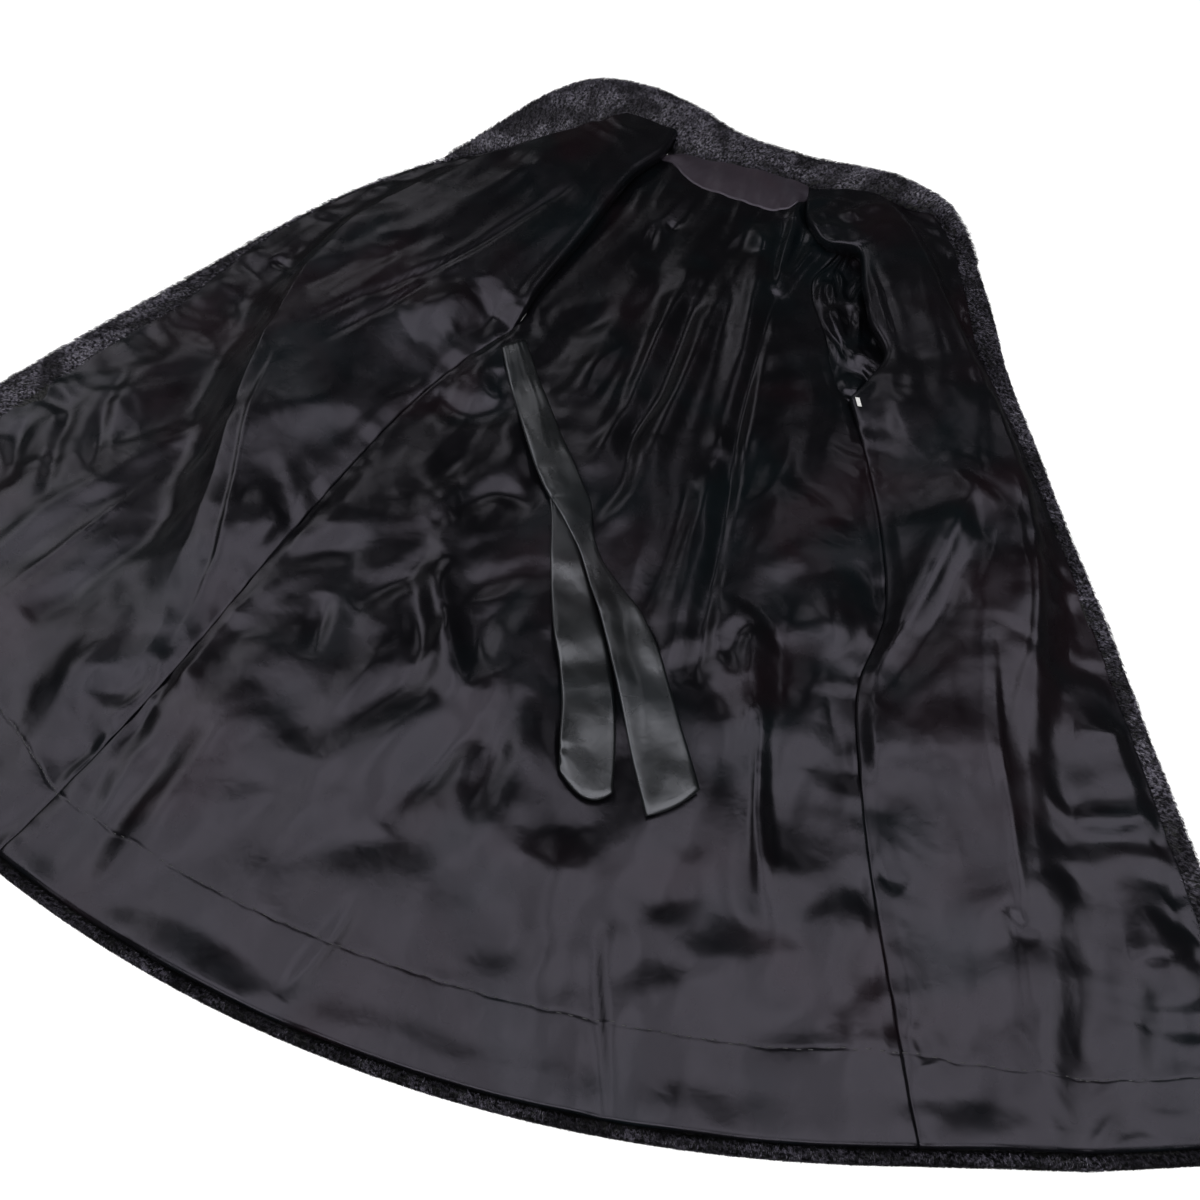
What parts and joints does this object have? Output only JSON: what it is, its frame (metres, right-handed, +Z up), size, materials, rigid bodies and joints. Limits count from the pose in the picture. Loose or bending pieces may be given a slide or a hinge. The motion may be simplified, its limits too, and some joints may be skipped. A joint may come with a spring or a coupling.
{
  "type": "fur coat",
  "caption": "Long black fur coat laid open on its back, fur down, with folded black satin lining, collar, open left armhole and two satin ties.",
  "frame": {"origin": "middle of the coat's bounding box in plan, on the surface that the fur rests on", "axes": "+X from the wearer's right front towards the left front, +Y from the hem up to the collar, +Z up out of the lining"},
  "size_m": [1.512, 1.322, 0.0583],
  "materials": {
    "fur": "long glossy black mink-like pile",
    "satin": "black lining satin with a soft sheen",
    "tie_satin": "doubled black satin, slightly cooler in tone",
    "pale_cotton": "bare pale woven tag"
  },
  "bodies": {
    "root": {"fur_back": "fur", "fur_front_right": "fur", "fur_front_left": "fur", "fur_sleeve_right": "fur", "fur_sleeve_left": "fur", "fur_collar": "fur", "lining_back": "satin", "lining_front_right": "satin", "lining_front_left": "satin", "lining_sleeve_left": "satin", "neck_facing": "satin", "tie_lower": "tie_satin", "tie_upper": "tie_satin", "seam_tag": "pale_cotton"}
  },
  "joints": []
}
